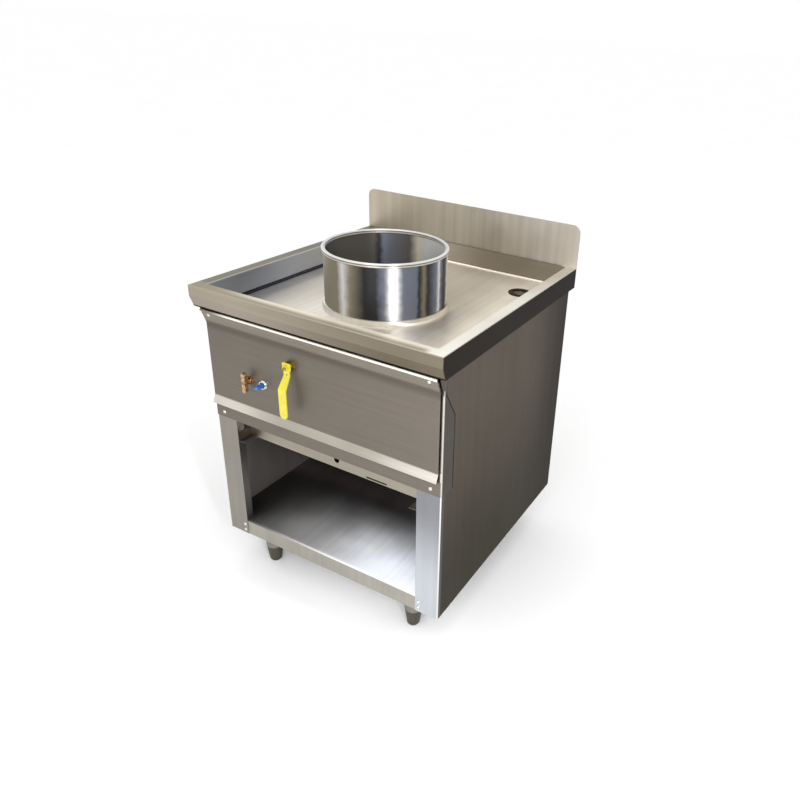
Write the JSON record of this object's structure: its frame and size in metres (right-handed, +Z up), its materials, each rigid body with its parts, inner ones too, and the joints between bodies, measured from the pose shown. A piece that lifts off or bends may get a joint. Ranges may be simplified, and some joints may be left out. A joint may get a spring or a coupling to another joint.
{
  "type": "wok burner",
  "caption": "Free-standing stainless gas wok range: sunken worktop with a loose wok ring, splashback, lever-worked control panel, drip tray and open shelf on bullet feet.",
  "frame": {"origin": "on the floor under the middle of the unit", "axes": "+Z up, -Y to the front with the controls, +X to the right seen from the front"},
  "size_m": [0.8, 0.8093, 1.074],
  "materials": {
    "brushed_sheet": "brushed stainless sheet",
    "plain_sheet": "mill-finish stainless",
    "polished_steel": "mirror-polished stainless",
    "heat_steel": "heat-tinted stainless",
    "cast_iron": "raw casting",
    "crown_brass": "heat-dulled brass",
    "zinc_steel": "zinc-plated steel",
    "brass": "machined brass",
    "pipe_steel": "satin pipe",
    "lever_yellow": "yellow coating",
    "bright_fasteners": "bright stainless",
    "copper": "drawn copper tube",
    "ceramic": "glazed white ceramic",
    "lead_rubber": "silicone sheath",
    "black_plastic": "moulded black",
    "chrome": "bright chrome",
    "blue_plastic": "moulded blue",
    "drain_steel": "cast stainless",
    "foot_steel": "dark satin steel"
  },
  "bodies": {
    "cabinet": {"worktop": "brushed_sheet", "deck": "brushed_sheet", "splashback": "brushed_sheet", "control_panel": "brushed_sheet", "post_left": "brushed_sheet", "post_right": "brushed_sheet", "side_panel_left": "brushed_sheet", "side_panel_right": "brushed_sheet", "back_panel": "brushed_sheet", "bottom_shelf": "brushed_sheet", "tray_runner_left": "plain_sheet", "tray_runner_right": "plain_sheet", "deck_bearer_front": "plain_sheet", "deck_bearer_rear": "plain_sheet", "leg_sockets": "plain_sheet", "hearth": "heat_steel", "burner_spider": "cast_iron", "burner_bowl": "cast_iron", "mixing_tube": "cast_iron", "burner_crown": "crown_brass", "drain_nut": "zinc_steel", "injector": "brass", "valve_body": "brass", "valve_panel_nut": "brass", "pilot_cock_body": "brass", "pilot_cock_nut": "brass", "pilot_burner": "brass", "feed_pipe": "pipe_steel", "inlet_pipe": "pipe_steel", "panel_screws": "bright_fasteners", "shelf_screws": "bright_fasteners", "pilot_supply_tube": "copper", "pilot_tube": "copper", "spark_electrode": "ceramic", "ignition_lead": "lead_rubber", "igniter_body": "black_plastic", "igniter_bezel": "chrome", "drain_body": "drain_steel"},
    "ring": {"wok_ring": "polished_steel"},
    "shutter": {"air_shutter": "zinc_steel"},
    "lever": {"valve_stem": "brass", "valve_lever": "lever_yellow", "lever_nut": "bright_fasteners"},
    "pilot_wing": {"pilot_cock_wing": "brass"},
    "button": {"igniter_button": "blue_plastic"},
    "tray": {"drip_tray": "brushed_sheet"},
    "strainer": {"drain_strainer": "drain_steel"},
    "foot_front_left": {"foot_front_left": "foot_steel"},
    "foot_front_right": {"foot_front_right": "foot_steel"},
    "foot_rear_left": {"foot_rear_left": "foot_steel"},
    "foot_rear_right": {"foot_rear_right": "foot_steel"}
  },
  "joints": [
    {"name": "lever_turn", "type": "hinge", "parent": "cabinet", "child": "lever", "pos_m": [-0.082, -0.372, 0.774], "axis": [0, -1, 0], "range_deg": [0, 90]},
    {"name": "pilot_wing_turn", "type": "hinge", "parent": "cabinet", "child": "pilot_wing", "pos_m": [-0.232, -0.372, 0.69], "axis": [0, -1, 0], "range_deg": [0, 90]},
    {"name": "igniter_press", "type": "slide", "parent": "cabinet", "child": "button", "axis": [0, 1, 0], "range_m": [0, 0.005], "stiffness_N_per_m": 600, "springref_m": -0.004},
    {"name": "tray_slide", "type": "slide", "parent": "cabinet", "child": "tray", "axis": [0, -1, 0], "range_m": [0, 0.42]},
    {"name": "ring_lift", "type": "slide", "parent": "cabinet", "child": "ring", "axis": [0, 0, 1], "range_m": [0, 0.2]},
    {"name": "shutter_turn", "type": "hinge", "parent": "cabinet", "child": "shutter", "pos_m": [0, -0.058, 0.64], "axis": [0, 0, 1], "range_deg": [0, 45]},
    {"name": "strainer_lift", "type": "slide", "parent": "cabinet", "child": "strainer", "axis": [0, 0, 1], "range_m": [0, 0.04]},
    {"name": "foot_front_left_screw", "type": "slide", "parent": "cabinet", "child": "foot_front_left", "axis": [0, 0, -1], "range_m": [0, 0.02]},
    {"name": "foot_front_right_screw", "type": "slide", "parent": "cabinet", "child": "foot_front_right", "axis": [0, 0, -1], "range_m": [0, 0.02]},
    {"name": "foot_rear_left_screw", "type": "slide", "parent": "cabinet", "child": "foot_rear_left", "axis": [0, 0, -1], "range_m": [0, 0.02]},
    {"name": "foot_rear_right_screw", "type": "slide", "parent": "cabinet", "child": "foot_rear_right", "axis": [0, 0, -1], "range_m": [0, 0.02]}
  ]
}
